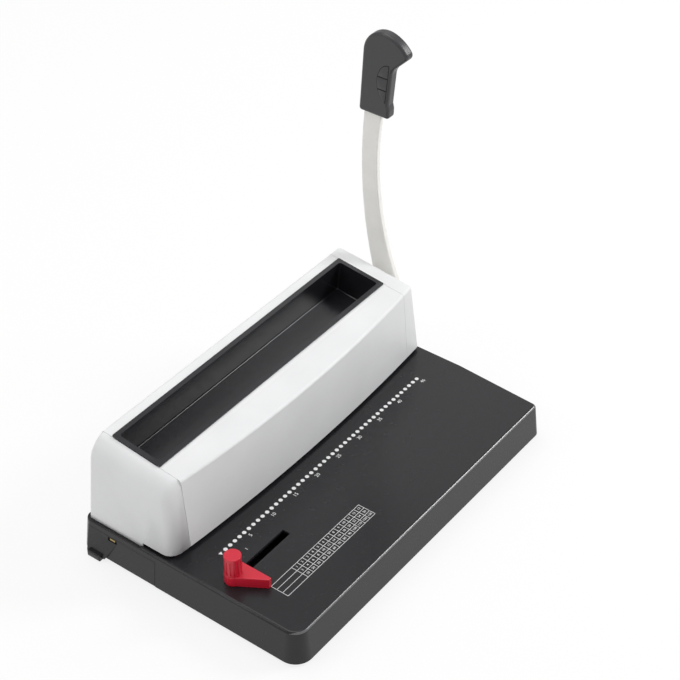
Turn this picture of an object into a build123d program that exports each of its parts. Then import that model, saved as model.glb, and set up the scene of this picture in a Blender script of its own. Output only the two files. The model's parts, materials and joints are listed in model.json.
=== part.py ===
from build123d import *
import os
from math import cos, pi, radians, sin, sqrt, tan

# A hand-lever punch for spiral-bound documents. Millimetres, +Z up, the user stands at -Y.
# The origin is on the table, under the centre of the machine's overall length and depth.

# Base moulding
base_width = 378.6
base_depth = 245.0
base_height = 34.0
base_draft = 6.0
base_corner = 17.0
base_small_corner = 11.0
base_right_corner = 8.0
side_taper = 6.0
side_taper_start = 150.5
base_wall = 2.6
base_roof = 3.0
base_edge_round = 3.0
base_lift = 3.0

# Underside
bottom_plate_thickness = 1.5
bottom_plate_rise = 1.0
bottom_plate_gap = 0.3
foot_diameter = 16.0
foot_inset = 26.0
boss_diameter = 8.0
boss_inset = 18.0
rear_boss_inset = 7.6
base_screw_diameter = 3.0
screw_head_share = 0.95
pan_height_share = 0.6
sink_angle = 90.0

# Punching row and paper throat
hole_pitch = 6.35
pin_diameter = 4.0
pin_hole_fit = 0.05
punch_setback = 73.0
row_end_gap = 20.2
stop_setback = 3.5
throat_gap = 2.5
throat_lip = 0.9
guide_plate_thickness = 4.0
guide_plate_front = 8.5
guide_plate_rear = 9.5
guide_plate_overhang = 16.0
pin_tip_rise = 0.7
press_stroke = 8.0

# Die bed
bed_side_margin = 11.3
bed_rear_margin = 14.5
bed_depth = 84.0
bed_gap = 0.2
ledge_rim = 3.0
rim_sink = 0.5
ledge_width = 8.0
ledge_thickness = 3.0

# Press bar
bar_width = 16.0
bar_thickness = 8.0
bar_overhang = 13.0
cam_inset = 6.0
pin_head_radius = 2.6
pin_head_thickness = 1.5
bar_clearance = 0.6
retainer_thickness = 2.0
ear_width = 18.0
post_diameter = 8.0
post_setback = 17.5
post_inset = 7.0
post_fit = 0.06
post_top_margin = 4.0
spring_wire = 1.2
spring_turns = 4
spring_clearance = 0.6
spring_end_gap = 0.15
screw_end_gap = 0.3

# Shaft, cams and bushes
shaft_diameter = 10.0
running_fit = 0.05
cam_base_radius = 7.5
cam_width = 8.0
cam_nose_radius = 4.0
cam_gap = 0.3
cam_pin_diameter = 3.0
handle_travel = 80.0
bush_wall = 2.5
bush_flange = 2.5
bush_flange_thickness = 1.5

# Side frames and tie rods
frame_thickness = 3.0
frame_inset = 2.5
frame_front_gap = 12.0
frame_rear_gap = 9.0
frame_top_gap = 8.0
frame_flange = 11.0
frame_throat_margin = 1.0
tie_rod_diameter = 8.0
tie_screw_diameter = 4.0
tie_wall_gap = 0.5
front_tie_drop = 17.0
rear_tie_inset = 11.0
upper_cap_screw_inset = 27.0
lower_cap_screw_inset = 19.0
lower_cap_screw_rise = 9.0

# Casing
casing_side_margin = 6.6
casing_rear_margin = 6.5
casing_depth = 105.4
casing_wall = 2.2
casing_height = 78.7
casing_slope = 6.81
casing_corner = 4.0
left_corner = 12.0
side_draft = 4.0
rear_draft = 3.0
front_lean = 4.0
bow_low = 6.2
bow_high = 8.7
bow_height = 75.0
cap_length = 22.1
seam_gap = 0.3
crease_round = 3.2
left_blend = 22.0
skirt_drop = 1.2
form_margin = 8.0
rebate_clearance = 1.0
cover_boss_diameter = 9.0

# Tray for the coils
tray_setback = 76.0
tray_width = 54.0
tray_border = 4.6
tray_depth = 30.7
tray_wall = 1.8
tray_rim = 1.2
tray_draft = 2.0
tray_corner = 3.0
cover_lap = 2.6
cover_boss_spread = 110.0

# Handle
arm_thickness = 5.5
arm_gap = 3.3
arm_eye_radius = 14.0
arm_neck_rear = 18.9
arm_neck_height = 2.0
arm_neck_round = 8.0
arm_length = 210.0
arm_top_rear = 40.7
arm_top_width = 19.2
arm_middle_height = 78.5
arm_middle_rear = 37.0
arm_middle_width = 21.6
arm_front_angle = 44.0
tang_length = 58.0
tang_shoulder = 4.0
grip_thickness = 11.0
grip_overhang = 4.6
grip_round = 2.8
grip_foot_round = 3.2
grip_back = (4.1, 64.0)
grip_shoulder = (11.3, 79.8)
grip_crown = (32.3, 85.4)
grip_brow = (51.3, 72.5)
grip_nose = (50.8, 66.0)
grip_hook = (39.8, 55.0)
grip_finger = (35.7, 46.3)
grip_waist = (32.5, 14.5)
grip_guard = (33.7, 9.0)
grip_heel = (33.3, 0.0)
spacer_wall = 2.0
washer_diameter = 20.0
washer_thickness = 1.5
hub_bolt_diameter = 5.0
flat_depth = 1.4
clip_thickness = 1.0
clip_gap = 0.2
groove_margin = 1.0
drill_margin = 1.0
arm_edge_round = 1.2

# Paper side guide
slot_length = 80.0
slot_width = 8.0
slot_end_gap = 2.0
slot_offset = 84.65
guide_rest_margin = 22.7
guide_disc_radius = 8.0
guide_height = 10.0
guide_reach = 30.35
guide_tip_width = 3.5
guide_stop_offset = 13.5
guide_stop_rise = 1.5
guide_heel_angle = 53.0
knob_diameter = 15.4
knob_height = 19.3
knob_flutes = 14
stud_diameter = 5.0
clamp_length = 22.0
clamp_width = 16.0
clamp_thickness = 3.0
slide_gap = 0.25
key_length = 12.0
key_gap = 0.3
stud_head = 9.0
insert_wall = 1.5
insert_height = 9.0
knob_skirt = 1.6
knob_edge_round = 0.8
flute_radius = 0.77
stud_end_gap = 1.0

# Waste drawer
drawer_rear_margin = 13.5
drawer_depth = 72.6
drawer_end_margin = 42.6
panel_rear_margin = 8.9
drawer_wall = 1.8
drawer_panel = 2.4
drawer_top_gap = 1.4
drawer_gap = 0.4
drawer_front_block = 14.0
rail_width = 1.2
rail_height = 9.0
flare_height = 24.0
flare_reach = 2.4
flare_top_front = 34.0
flare_low_front = 20.6
pull_low = 0.6
pull_height = 6.2
pull_reach = 5.3
pull_root = 12.0
pull_width = 14.5
pull_inset = 5.3
pull_edge_round = 1.2
catch_width = 6.0
catch_height = 2.0
catch_thickness = 1.0
catch_setback = 23.5
catch_drop = 4.4
catch_rivet_diameter = 1.6
catch_rivet_length = 3.0
recess_width = 10.0
recess_height = 3.6
recess_depth = 1.4

# Levels worked out from the sizes above
base_low = base_lift
base_top = base_low + base_height
base_half = base_width / 2
depth_half = base_depth / 2
casing_width = base_width - 2 * casing_side_margin
seam_half = casing_width / 2 - cap_length
bed_length = base_width - 2 * bed_side_margin
bed_rear = depth_half - bed_rear_margin
bed_front = bed_rear - bed_depth
casing_rear = depth_half - casing_rear_margin
casing_front = casing_rear - casing_depth
punch_line = depth_half - punch_setback
skirt_front = punch_line + stop_setback
tray_front = depth_half - tray_setback
slot_line = punch_line - slot_offset
guide_rest = guide_rest_margin - base_half
slot_centre = guide_rest + (slot_length - key_length) / 2 - slot_end_gap
drawer_rear = depth_half - drawer_rear_margin
drawer_front = drawer_rear - drawer_depth
drawer_panel_rear = depth_half - panel_rear_margin
drawer_length = base_width - drawer_end_margin
plate_low = base_low + bottom_plate_rise
plate_top = plate_low + bottom_plate_thickness
bed_low = base_top - base_roof
ledge_low = bed_low - ledge_thickness
guide_plate_low = base_top + throat_gap
guide_plate_top = guide_plate_low + guide_plate_thickness
bar_low = guide_plate_top + press_stroke + bar_clearance
bar_top = bar_low + bar_thickness
retainer_top = bar_top + retainer_thickness
shaft_height = retainer_top + cam_gap + cam_base_radius
frame_inner = seam_half + frame_inset
hole_count = 1 + int(2 * (frame_inner - row_end_gap) / hole_pitch)
row_half = hole_pitch * (hole_count - 1) / 2
bar_half = row_half + bar_overhang
post_x = bar_half - post_inset
post_y = punch_line + post_setback
cam_rate = press_stroke / radians(handle_travel)
frame_outer = frame_inner + frame_thickness
arm_inner = casing_width / 2 + arm_gap
arm_outer = arm_inner + arm_thickness
grip_outer = (arm_inner + arm_outer + grip_thickness) / 2
pull_outer = base_half + pull_reach
mid_x = (pull_outer - grip_outer) / 2
centred_low = (Align.CENTER, Align.CENTER, Align.MIN)
centred_high = (Align.CENTER, Align.CENTER, Align.MAX)


def level(height):
    """A horizontal plane whose origin is on the machine's middle line."""
    return Plane(origin=(mid_x, 0, height))


def cross(x):
    """A plane across the machine: local x is depth (+Y) and local y is height."""
    return Plane(origin=(mid_x + x, 0, 0), x_dir=(0, 1, 0), z_dir=(1, 0, 0))


def along(y):
    """An upright plane along the machine, facing the user: local y is height."""
    return Plane(origin=(mid_x, y, 0), x_dir=(1, 0, 0), z_dir=(0, -1, 0))


def seat(x, y, z, direction):
    """A small plane on which a screw head bears, facing along direction."""
    return Plane(origin=(mid_x + x, y, z), z_dir=direction)


def screws(seats, diameter, length, sunk=False):
    """Identical screws, one on each seat: pan heads, or flush countersunk ones."""
    head_radius = diameter * screw_head_share
    head_height = (head_radius - diameter / 2) if sunk else diameter * pan_height_share
    with BuildPart() as group:
        for place in seats:
            with Locations(place):
                Cylinder(diameter / 2, length, align=centred_high)
                if sunk:
                    Cone(diameter / 2, head_radius, head_height, align=centred_high)
                else:
                    Cylinder(head_radius, head_height, align=centred_low)
    return group


def coil_path(centre, radius, low, high, turns):
    """The centre line of a coil: two tangent arcs for each quarter turn of the helix."""
    climb = (high - low) / (turns * 2 * pi)
    steps = turns * 4

    def point(step):
        angle = step * pi / 2
        return Vector(radius * cos(angle), radius * sin(angle), low + climb * angle) + centre

    def heading(step):
        angle = step * pi / 2
        return Vector(-radius * sin(angle), radius * cos(angle), climb).normalized()

    arcs = []
    for step in range(steps):
        start, end = point(step), point(step + 1)
        leaving, arriving = heading(step), heading(step + 1)
        chord = end - start
        spread = 2 * (1 - leaving.dot(arriving))
        lean = chord.dot(leaving + arriving)
        reach = (sqrt(lean * lean + spread * chord.dot(chord)) - lean) / spread
        middle = (start + leaving * reach + end - arriving * reach) * 0.5
        arcs.append(Edge.make_tangent_arc(start, leaving, middle))
        arcs.append(Edge.make_tangent_arc(middle, arcs[-1] % 1, end))
    return Wire(arcs)


def base_outline(inset):
    """The base's plan at its lower edge, drawn in by inset; its right side runs in to the front."""
    front_right = (base_half - side_taper, -depth_half)
    corners = (
        ((-base_half, -depth_half), base_corner),
        (front_right, base_right_corner),
        ((base_half, depth_half), base_small_corner),
        ((-base_half, depth_half), base_small_corner),
    )
    with BuildSketch() as plan:
        Polygon(
            (-base_half, -depth_half),
            front_right,
            (base_half, depth_half - side_taper_start),
            (base_half, depth_half),
            (-base_half, depth_half),
            align=None,
        )
        for corner, radius in corners:
            fillet(plan.vertices().sort_by_distance(Vector(*corner))[0], radius)
        if inset > 0:
            offset(amount=-inset, mode=Mode.REPLACE)
    return plan.sketch


def base_form(inset, height):
    """The base's drafted block, drawn in by inset, from its lower edge up to height."""
    with BuildPart() as form:
        with BuildSketch(level(base_low)):
            add(base_outline(inset))
        extrude(amount=height - base_low, taper=base_draft)
    return form.part


def roof_height(y):
    """Height of the casing's sloping top above the table at a depth."""
    return base_top + casing_height + (y - tray_front) * tan(radians(casing_slope))


def casing_half(height):
    """Half length of the casing at a height."""
    return casing_width / 2 - (height - base_top) * tan(radians(side_draft))


def casing_front_at(height, x):
    """Depth of the bowed front face at a height and a distance from the middle."""
    share = (height - base_top) / bow_height
    bow = bow_low + (bow_high - bow_low) * share
    return casing_front + front_lean * share + bow * (x / seam_half) ** 2


def casing_rear_at(height):
    """Depth of the rear face at a height."""
    return casing_rear - (height - base_top) * tan(radians(rear_draft))


roof = Plane(
    origin=(mid_x, tray_front, roof_height(tray_front)),
    x_dir=(1, 0, 0),
    z_dir=(0, -sin(radians(casing_slope)), cos(radians(casing_slope))),
)
skirt_low = base_top - skirt_drop
casing_mid_depth = (casing_front + casing_rear) / 2


def casing_form(inset):
    """The casing's whole outer form, drawn in by inset, with its large left-hand blend."""
    with BuildPart() as form:
        for height in (skirt_low, roof_height(casing_rear) + form_margin):
            half = casing_half(height) - inset
            rear = casing_rear_at(height) - inset
            middle = casing_front_at(height, 0) + inset
            end = casing_front_at(height, half) + inset
            with BuildSketch(level(height)) as outline:
                with BuildLine():
                    ThreePointArc((-half, end), (0, middle), (half, end))
                    Polyline((half, end), (half, rear), (-half, rear), (-half, end))
                make_face()
                for corner in ((half, end), (half, rear), (-half, rear)):
                    place = Vector(*corner)
                    fillet(outline.vertices().sort_by_distance(place)[0], casing_corner - inset)
                place = Vector(-half, end)
                fillet(outline.vertices().sort_by_distance(place)[0], left_corner - inset)
        loft(ruled=True)
        split(bisect_by=roof.offset(-inset), keep=Keep.BOTTOM)
        if inset == 0:
            fillet(form.faces().filter_by(GeomType.PLANE).sort_by(Axis.Z)[-1].edges(), crease_round)
        section = Plane(
            origin=(mid_x, casing_mid_depth, roof_height(casing_mid_depth)),
            x_dir=(1, 0, 0),
            z_dir=(0, -cos(radians(casing_slope)), -sin(radians(casing_slope))),
        )
        radius = left_blend - inset
        reach = radius / tan(radians((90 + side_draft) / 2))
        edge_x = inset - casing_half(roof_height(casing_mid_depth))
        low_x = edge_x - reach * sin(radians(side_draft))
        low_y = -inset - reach * cos(radians(side_draft))
        with BuildSketch(section):
            with BuildLine():
                TangentArc((edge_x + reach, -inset), (low_x, low_y), tangent=(-1, 0))
                Polyline(
                    (low_x, low_y),
                    (low_x - radius, low_y),
                    (low_x - radius, radius),
                    (edge_x + reach, radius),
                    (edge_x + reach, -inset),
                )
            make_face()
        extrude(amount=casing_rear, both=True, mode=Mode.SUBTRACT)
    return form.part


def tray_form(border, depth, top):
    """The tray's block hung from the roof: drawn in by border, reaching down by depth."""
    with BuildPart() as form:
        with BuildSketch(roof.offset(top)):
            with Locations((0, tray_width / 2)):
                RectangleRounded(
                    2 * seam_half - 2 * border, tray_width - 2 * border, tray_corner
                )
        extrude(amount=-depth - top, taper=tray_draft)
        floor_face = form.faces().sort_by(Axis.Z)[0]
        fillet(floor_face.edges(), tray_corner / 2)
    return form.part


base_outer = base_form(0, base_top)
base_inner = base_form(base_wall, bed_low)
casing_outer = casing_form(0)
casing_inner = casing_form(casing_wall)

bed_middle = (bed_front + bed_rear) / 2
drawer_top = ledge_low - drawer_top_gap
pull_middle = drawer_rear - pull_inset
boss_places = [
    (side * (base_half - boss_inset), y)
    for y in (-depth_half + boss_inset, bed_front)
    for side in (-1, 1)
]
boss_places += [
    (side * (base_half - boss_inset - foot_inset / 2), depth_half - rear_boss_inset)
    for side in (-1, 1)
]
boss_places += [(0, -depth_half + boss_inset), (0, depth_half - rear_boss_inset)]

# The base is one moulding: a drafted shell with a ledge for the steel bed, screw bosses,
# the guide's slot, the drawer's opening and a rebate that the casing's skirt sits in.
with BuildPart() as base_cover:
    add(base_outer)
    fillet(base_cover.faces().sort_by(Axis.Z)[-1].edges(), base_edge_round)
    add(base_inner, mode=Mode.SUBTRACT)
    with BuildSketch(level(ledge_low)):
        with Locations((0, bed_middle)):
            Rectangle(
                bed_length + 2 * (bed_gap + ledge_rim), bed_depth + 2 * (bed_gap + ledge_rim)
            )
    extrude(amount=base_roof + ledge_thickness - rim_sink)
    with BuildSketch(level(plate_top)):
        with Locations(*boss_places):
            Circle(boss_diameter / 2)
    extrude(amount=ledge_low - plate_top + ledge_thickness + base_roof / 2)
    with BuildSketch(level(ledge_low)):
        with Locations((0, bed_middle)):
            Rectangle(bed_length - 2 * ledge_width, bed_depth - 2 * ledge_width)
    extrude(amount=ledge_thickness, mode=Mode.SUBTRACT)
    with BuildSketch(level(bed_low)):
        with Locations((0, bed_middle)):
            Rectangle(bed_length + 2 * bed_gap, bed_depth + 2 * bed_gap)
    extrude(amount=base_roof, mode=Mode.SUBTRACT)
    with BuildSketch(level(plate_top)):
        with Locations(*boss_places):
            Circle(base_screw_diameter / 2)
    extrude(amount=boss_diameter, mode=Mode.SUBTRACT)
    with BuildSketch(level(bed_low)):
        with Locations((slot_centre, slot_line)):
            Rectangle(slot_length, slot_width)
    extrude(amount=base_roof, mode=Mode.SUBTRACT)
    with BuildSketch(cross(-base_half - pull_reach)):
        with Locations(((drawer_front + drawer_panel_rear) / 2, (drawer_top + base_low) / 2)):
            Rectangle(
                drawer_panel_rear - drawer_front + 2 * drawer_gap,
                drawer_top - base_low + 2 * drawer_gap,
            )
    extrude(amount=pull_reach + base_wall + 3 * drawer_panel, mode=Mode.SUBTRACT)
    with BuildSketch(level(skirt_low)):
        with Locations((0, (skirt_front + depth_half) / 2)):
            Rectangle(base_width, depth_half - skirt_front)
        RectangleRounded(
            casing_width - 2 * (casing_wall + bed_gap),
            2 * (casing_rear - casing_wall - bed_gap),
            casing_corner - casing_wall,
            mode=Mode.SUBTRACT,
        )
    extrude(amount=skirt_drop + rebate_clearance, mode=Mode.SUBTRACT)
base_cover.part.label = "base_cover"

# The steel plate that closes the underside, with its feet, screws and drawer rails.
with BuildPart() as bottom_plate:
    with BuildSketch(level(plate_low)):
        add(base_outline(base_wall + bottom_plate_gap))
        with Locations(*boss_places):
            Circle(base_screw_diameter / 2 + pin_hole_fit, mode=Mode.SUBTRACT)
    extrude(amount=bottom_plate_thickness, taper=base_draft)
    with BuildSketch(level(plate_low)):
        with Locations((-base_half, pull_middle)):
            Rectangle(2 * (pull_root + drawer_gap), pull_width + 2 * drawer_gap)
    extrude(amount=bottom_plate_thickness, mode=Mode.SUBTRACT)
bottom_plate.part.label = "bottom_plate"

foot_places = [
    (side * (base_half - foot_inset), end * (depth_half - foot_inset))
    for side in (-1, 1)
    for end in (-1, 1)
]
with BuildPart() as rubber_feet:
    with BuildSketch(level(plate_low)):
        with Locations(*foot_places):
            Circle(foot_diameter / 2)
    extrude(amount=-plate_low, taper=base_draft)
rubber_feet.part.label = "rubber_feet"

base_screws = screws(
    [seat(x, y, plate_low, (0, 0, -1)) for x, y in boss_places],
    base_screw_diameter,
    boss_diameter,
)
base_screws.part.label = "base_screws"

drawer_rail_length = drawer_length - pull_root - drawer_wall
with BuildPart() as drawer_rails:
    with BuildSketch(level(plate_top)):
        for y in (
            drawer_front - drawer_gap - rail_width / 2,
            drawer_rear + drawer_gap + rail_width / 2,
        ):
            with Locations((-base_half + drawer_length / 2 + pull_root, y)):
                Rectangle(drawer_rail_length, rail_width)
    extrude(amount=rail_height)
drawer_rails.part.label = "drawer_rails"

# The die bed: a steel plate let in flush with the top, with one hole for each pin.
pin_places = [(hole_pitch * index - row_half, punch_line) for index in range(hole_count)]
post_places = [(-post_x, post_y), (post_x, post_y)]
frame_mid = (frame_inner + frame_outer) / 2
flange_screw_x = frame_outer + frame_flange / 2
frame_rear = casing_rear - frame_rear_gap
flange_rear = bed_rear - bed_gap
flange_front = skirt_front + frame_throat_margin
flange_screw_places = [
    (side * flange_screw_x, y)
    for side in (-1, 1)
    for y in (flange_front + frame_flange, flange_rear - frame_flange)
]
guide_screw_y = punch_line + (pin_diameter + guide_plate_rear) / 2
guide_screw_places = [
    (share * (row_half + guide_plate_overhang / 2), guide_screw_y)
    for share in (-1, -1 / 3, 1 / 3, 1)
]
with BuildPart() as die_bed:
    with BuildSketch(level(bed_low)):
        with Locations((0, bed_middle)):
            Rectangle(bed_length, bed_depth)
        with Locations(*pin_places):
            Circle(pin_diameter / 2 + pin_hole_fit, mode=Mode.SUBTRACT)
        with Locations(*flange_screw_places):
            Circle(tie_screw_diameter / 2 + pin_hole_fit, mode=Mode.SUBTRACT)
        with Locations(*guide_screw_places):
            Circle(base_screw_diameter / 2 + pin_hole_fit, mode=Mode.SUBTRACT)
        with Locations(*post_places):
            Circle(post_diameter / 4 + pin_hole_fit, mode=Mode.SUBTRACT)
    extrude(amount=base_roof)
die_bed.part.label = "die_bed"

# The throat: the stop behind the row and the plate above it leave a slit for the paper.
stop_front = punch_line + stop_setback
guide_half = row_half + guide_plate_overhang
guide_rear = punch_line + guide_plate_rear
with BuildPart() as back_stop:
    with BuildSketch(level(base_top)):
        with Locations((0, (stop_front + guide_rear) / 2)):
            Rectangle(2 * guide_half, guide_rear - stop_front)
        with Locations(*guide_screw_places):
            Circle(base_screw_diameter / 2 + pin_hole_fit, mode=Mode.SUBTRACT)
    extrude(amount=throat_gap)
back_stop.part.label = "back_stop"

guide_front = punch_line - guide_plate_front
with BuildPart() as pin_guide_plate:
    with BuildSketch(level(guide_plate_low)):
        with Locations((0, (guide_front + guide_rear) / 2)):
            Rectangle(2 * guide_half, guide_rear - guide_front)
        with Locations(*pin_places):
            Circle(pin_diameter / 2 + pin_hole_fit, mode=Mode.SUBTRACT)
    extrude(amount=guide_plate_thickness)
    chamfer(
        pin_guide_plate.faces().sort_by(Axis.Y)[0].edges().sort_by(Axis.Z)[0],
        guide_plate_thickness / 4,
    )
    for x, y in guide_screw_places:
        with Locations(level(guide_plate_top) * Location((x, y, 0))):
            CounterSinkHole(
                base_screw_diameter / 2 + pin_hole_fit,
                base_screw_diameter * screw_head_share + pin_hole_fit,
                guide_plate_thickness,
                sink_angle,
            )
pin_guide_plate.part.label = "pin_guide_plate"

guide_plate_screws = screws(
    [seat(x, y, guide_plate_top, (0, 0, 1)) for x, y in guide_screw_places],
    base_screw_diameter,
    guide_plate_thickness + throat_gap + base_roof - screw_end_gap,
    sunk=True,
)
guide_plate_screws.part.label = "guide_plate_screws"


def hub(x):
    """A plane across the machine centred on the shaft: local x is depth, y is height."""
    return Plane(origin=(mid_x + x, punch_line, shaft_height), x_dir=(0, 1, 0), z_dir=(1, 0, 0))


# The side frames stand on the bed by a flange and carry the shaft, the tie rods and the caps.
frame_low = guide_plate_low + frame_throat_margin
frame_front_low = casing_front_at(frame_low, frame_outer) + frame_front_gap
frame_front_high = frame_front_low + front_lean + bow_high - bow_low
front_tie = (
    tray_front - tie_rod_diameter / 2 - tie_wall_gap,
    roof_height(tray_front) - front_tie_drop,
)
rear_tie = (frame_rear - rear_tie_inset, shaft_height - tie_rod_diameter)
cap_screw_seats = [
    (frame_rear - upper_cap_screw_inset, front_tie[1]),
    (frame_rear - lower_cap_screw_inset, frame_low + lower_cap_screw_rise),
]
bush_radius = shaft_diameter / 2 + bush_wall
cap_boss_radius = boss_diameter / 2


def side_frame(side):
    """A side frame, its flange turned outwards over the bed."""
    with BuildPart() as frame:
        with BuildSketch(cross(side * frame_mid - frame_thickness / 2)):
            Polygon(
                (frame_front_low, frame_low),
                (flange_front, frame_low),
                (flange_front, base_top),
                (frame_rear, base_top),
                (frame_rear, roof_height(frame_rear) - frame_top_gap),
                (frame_front_high, roof_height(frame_front_high) - frame_top_gap),
                align=None,
            )
            with Locations((punch_line, shaft_height)):
                Circle(bush_radius, mode=Mode.SUBTRACT)
            with Locations(front_tie, rear_tie, *cap_screw_seats):
                Circle(tie_screw_diameter / 2 + pin_hole_fit, mode=Mode.SUBTRACT)
        extrude(amount=frame_thickness)
        fillet(frame.edges().filter_by(Axis.X).sort_by(Axis.Z)[-2:], frame_throat_margin * 4)
        with BuildSketch(level(base_top)):
            with Locations((side * flange_screw_x, (flange_front + frame_rear) / 2)):
                Rectangle(frame_flange, frame_rear - flange_front)
            with Locations(*flange_screw_places):
                Circle(tie_screw_diameter / 2 + pin_hole_fit, mode=Mode.SUBTRACT)
        extrude(amount=frame_thickness)
    return frame


left_side_frame = side_frame(-1)
left_side_frame.part.label = "left_side_frame"
right_side_frame = side_frame(1)
right_side_frame.part.label = "right_side_frame"

frame_screws = screws(
    [seat(x, y, base_top + frame_thickness, (0, 0, 1)) for x, y in flange_screw_places],
    tie_screw_diameter,
    frame_thickness + base_roof,
)
frame_screws.part.label = "frame_screws"


def tie_rod(place):
    """A tie rod between the side frames, cross-drilled for a cover's screws."""
    with BuildPart() as rod:
        with BuildSketch(cross(-frame_inner)):
            with Locations(place):
                Circle(tie_rod_diameter / 2)
                Circle(tie_screw_diameter / 2, mode=Mode.SUBTRACT)
        extrude(amount=2 * frame_inner)
        with BuildSketch(along(place[0])):
            with Locations((-cover_boss_spread, place[1]), (cover_boss_spread, place[1])):
                Circle(base_screw_diameter / 2 + pin_hole_fit)
        extrude(amount=tie_rod_diameter, both=True, mode=Mode.SUBTRACT)
    return rod


front_tie_rod = tie_rod(front_tie)
front_tie_rod.part.label = "front_tie_rod"
rear_tie_rod = tie_rod(rear_tie)
rear_tie_rod.part.label = "rear_tie_rod"

tie_screws = screws(
    [
        seat(side * frame_outer, place[0], place[1], (side, 0, 0))
        for side in (-1, 1)
        for place in (front_tie, rear_tie)
    ],
    tie_screw_diameter,
    frame_thickness + 3 * tie_screw_diameter,
)
tie_screws.part.label = "tie_screws"


def shaft_bush(side):
    """A flanged bush pressed into a side frame from the inside."""
    with BuildPart() as bush:
        with BuildSketch(hub(side * (frame_inner - bush_flange_thickness))):
            Circle(bush_radius + bush_flange)
            Circle(shaft_diameter / 2 + running_fit, mode=Mode.SUBTRACT)
        extrude(amount=side * bush_flange_thickness)
        with BuildSketch(hub(side * frame_inner)):
            Circle(bush_radius)
            Circle(shaft_diameter / 2 + running_fit, mode=Mode.SUBTRACT)
        extrude(amount=side * (frame_thickness + clip_thickness))
    return bush


left_shaft_bush = shaft_bush(-1)
left_shaft_bush.part.label = "left_shaft_bush"
right_shaft_bush = shaft_bush(1)
right_shaft_bush.part.label = "right_shaft_bush"

# The lever shaft with its two cams, fixed by cross pins, and the clip that keeps it in place.
cam_x = bar_half - cam_inset
bush_outer = frame_outer + clip_thickness
shaft_left = bush_outer + 2 * clip_gap + 2 * clip_thickness
cam_pin_low = shaft_height - cam_base_radius + clip_gap
cam_pin_high = shaft_height + cam_base_radius - clip_gap
with BuildPart() as main_shaft:
    with BuildSketch(hub(-shaft_left)):
        Circle(shaft_diameter / 2)
    extrude(amount=shaft_left + arm_inner)
    with BuildSketch(hub(arm_inner)):
        Circle(shaft_diameter / 2)
        Rectangle(shaft_diameter, shaft_diameter - 2 * flat_depth, mode=Mode.INTERSECT)
    extrude(amount=arm_thickness - clip_gap)
    with BuildSketch(hub(arm_outer)):
        Circle(hub_bolt_diameter / 2)
    extrude(amount=-4 * hub_bolt_diameter, mode=Mode.SUBTRACT)
    with BuildSketch(hub(-bush_outer - clip_gap)):
        Circle(shaft_diameter / 2 + groove_margin)
        Circle(shaft_diameter / 2 - clip_thickness, mode=Mode.SUBTRACT)
    extrude(amount=-clip_thickness, mode=Mode.SUBTRACT)
    for x in (-cam_x, cam_x):
        with Locations(seat(x, punch_line, cam_pin_low, (0, 0, 1))):
            Cylinder(
                cam_pin_diameter / 2,
                cam_pin_high - cam_pin_low,
                align=centred_low,
                mode=Mode.SUBTRACT,
            )
main_shaft.part.label = "main_shaft"

with BuildPart() as shaft_clip:
    with BuildSketch(hub(-bush_outer - clip_gap)):
        Circle(shaft_diameter / 2 + 2 * clip_thickness)
        Circle(shaft_diameter / 2 - clip_thickness, mode=Mode.SUBTRACT)
        with Locations((0, -shaft_diameter / 2)):
            Rectangle(shaft_diameter / 2, shaft_diameter, mode=Mode.SUBTRACT)
    extrude(amount=-clip_thickness)
shaft_clip.part.label = "shaft_clip"


def cam_point(turn):
    """A point of the cam's working face, which presses the flat bar evenly at each angle."""
    support = cam_base_radius + cam_rate * turn
    return (
        -support * sin(turn) - cam_rate * cos(turn),
        -support * cos(turn) + cam_rate * sin(turn),
    )


def cam(x):
    """A cam centred at x: a steady rise over the handle's travel, a rounded nose, a hub."""
    steps = 8
    working = [cam_point(radians(handle_travel) * step / steps) for step in range(steps + 1)]
    tip_y, tip_z = working[-1]
    nose_back = (tip_y + cam_nose_radius, tip_z + 1.5 * cam_nose_radius)
    with BuildPart() as piece:
        with BuildSketch(hub(x - cam_width / 2)):
            with BuildLine():
                Line((0, -cam_base_radius), working[0])
                Spline(
                    *working,
                    tangents=[(-1, 0), (-cos(radians(handle_travel)), sin(radians(handle_travel)))],
                )
                TangentArc(
                    working[-1],
                    nose_back,
                    tangent=(-cos(radians(handle_travel)), sin(radians(handle_travel))),
                )
                Line(nose_back, (0, cam_base_radius))
                ThreePointArc((0, cam_base_radius), (cam_base_radius, 0), (0, -cam_base_radius))
            make_face()
            Circle(shaft_diameter / 2, mode=Mode.SUBTRACT)
        extrude(amount=cam_width)
        with Locations(seat(x, punch_line, cam_pin_low - drill_margin, (0, 0, 1))):
            Cylinder(
                cam_pin_diameter / 2,
                cam_pin_high - cam_pin_low + 2 * drill_margin,
                align=centred_low,
                mode=Mode.SUBTRACT,
            )
    return piece


left_cam = cam(-cam_x)
left_cam.part.label = "left_cam"
right_cam = cam(cam_x)
right_cam.part.label = "right_cam"

with BuildPart() as cam_pins:
    for x in (-cam_x, cam_x):
        with Locations(seat(x, punch_line, cam_pin_low, (0, 0, 1))):
            Cylinder(cam_pin_diameter / 2, cam_pin_high - cam_pin_low, align=centred_low)
cam_pins.part.label = "cam_pins"

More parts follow.
